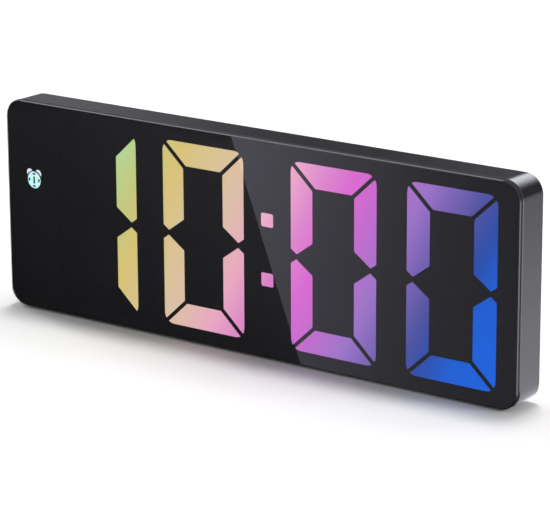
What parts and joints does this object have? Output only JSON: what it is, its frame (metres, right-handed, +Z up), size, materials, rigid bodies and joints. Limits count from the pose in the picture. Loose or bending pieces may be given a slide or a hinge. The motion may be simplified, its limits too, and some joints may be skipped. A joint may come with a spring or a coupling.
{
  "type": "desk clock",
  "caption": "Slim free-standing LED desk clock: black slab with large colour-gradient seven-segment digits, rear battery housing, push buttons and USB inlet.",
  "frame": {"origin": "middle of the footprint, on the surface that the clock stands on", "axes": "+X to the right as seen from the front, +Y from the front lens to the back, +Z up"},
  "size_m": [0.162, 0.021, 0.0576],
  "materials": {
    "lens_acrylic": "polished smoked acrylic",
    "black_print": "black screen print on the lens",
    "black_tape": "black foam tape",
    "colour_film": "printed transparent colour film",
    "guide_green_gold": "lit light guide",
    "guide_gold_rose": "lit light guide",
    "guide_pink": "lit light guide",
    "guide_blue": "lit light guide",
    "guide_rose": "lit light guide",
    "guide_cyan": "lit light guide",
    "guide_dark": "unlit light guide behind the dark film",
    "white_plastic": "moulded white plastic",
    "led_phosphor": "chip LED with yellow phosphor",
    "board_green": "green solder mask",
    "frame_black": "satin black moulded plastic",
    "cover_black": "finely grained black plastic",
    "button_black": "smooth satin plastic",
    "chip_black": "moulded epoxy",
    "plated_steel": "nickel plated",
    "screw_black": "black zinc plated",
    "capacitor_sleeve": "shrink sleeve",
    "passive_tan": "ceramic",
    "switch_grey": "moulded plastic",
    "knob_grey": "moulded plastic",
    "cell_wrap": "printed sleeve without words",
    "lead_red": "PVC insulation",
    "lead_black": "PVC insulation",
    "foot_rubber": "soft rubber"
  },
  "bodies": {
    "housing": {"front_lens": "lens_acrylic", "display_mask": "black_print", "lens_tape": "black_tape", "colour_film": "colour_film", "hours_tens_guides": "guide_green_gold", "hours_units_guides": "guide_gold_rose", "minutes_tens_guides": "guide_pink", "minutes_units_guides": "guide_blue", "colon_guides": "guide_rose", "alarm_sign_guide": "guide_cyan", "idle_guides": "guide_dark", "reflector_block": "white_plastic", "segment_leds": "led_phosphor", "main_board": "board_green", "front_frame": "frame_black", "clock_chip": "chip_black", "led_driver_chip": "chip_black", "quartz_crystal": "plated_steel", "supply_capacitor": "capacitor_sleeve", "chip_passives": "passive_tan", "buzzer": "chip_black", "microphone": "plated_steel", "usb_shell": "plated_steel", "usb_tongue": "chip_black", "tact_switch_bodies": "switch_grey", "sound_switch_body": "switch_grey", "board_screws": "plated_steel", "battery_cells": "cell_wrap", "battery_contacts": "plated_steel", "battery_springs": "plated_steel", "red_lead": "lead_red", "black_lead": "lead_black", "rear_cover": "cover_black", "case_screws": "screw_black", "foot_pads": "foot_rubber"},
    "mode_key": {"mode_button": "button_black", "mode_plunger": "chip_black"},
    "alarm_key": {"alarm_button": "button_black", "alarm_plunger": "chip_black"},
    "up_key": {"up_button": "button_black", "up_plunger": "chip_black"},
    "down_key": {"down_button": "button_black", "down_plunger": "chip_black"},
    "sound_knob": {"sound_switch_knob": "knob_grey"},
    "door": {"battery_door": "cover_black"}
  },
  "joints": [
    {"name": "mode_press", "type": "slide", "parent": "housing", "child": "mode_key", "axis": [0, -1, 0], "range_m": [0, 0.00035], "stiffness_N_per_m": 1200, "springref_m": -0.0002},
    {"name": "alarm_press", "type": "slide", "parent": "housing", "child": "alarm_key", "axis": [0, -1, 0], "range_m": [0, 0.00035], "stiffness_N_per_m": 1200, "springref_m": -0.0002},
    {"name": "up_press", "type": "slide", "parent": "housing", "child": "up_key", "axis": [0, -1, 0], "range_m": [0, 0.00035], "stiffness_N_per_m": 1200, "springref_m": -0.0002},
    {"name": "down_press", "type": "slide", "parent": "housing", "child": "down_key", "axis": [0, -1, 0], "range_m": [0, 0.00035], "stiffness_N_per_m": 1200, "springref_m": -0.0002},
    {"name": "sound_slide", "type": "slide", "parent": "housing", "child": "sound_knob", "axis": [1, 0, 0], "range_m": [0, 0.002]},
    {"name": "door_hinge", "type": "hinge", "parent": "housing", "child": "door", "pos_m": [0, 0.0105, 0.0063], "axis": [-1, 0, 0], "range_deg": [0, 65]}
  ]
}
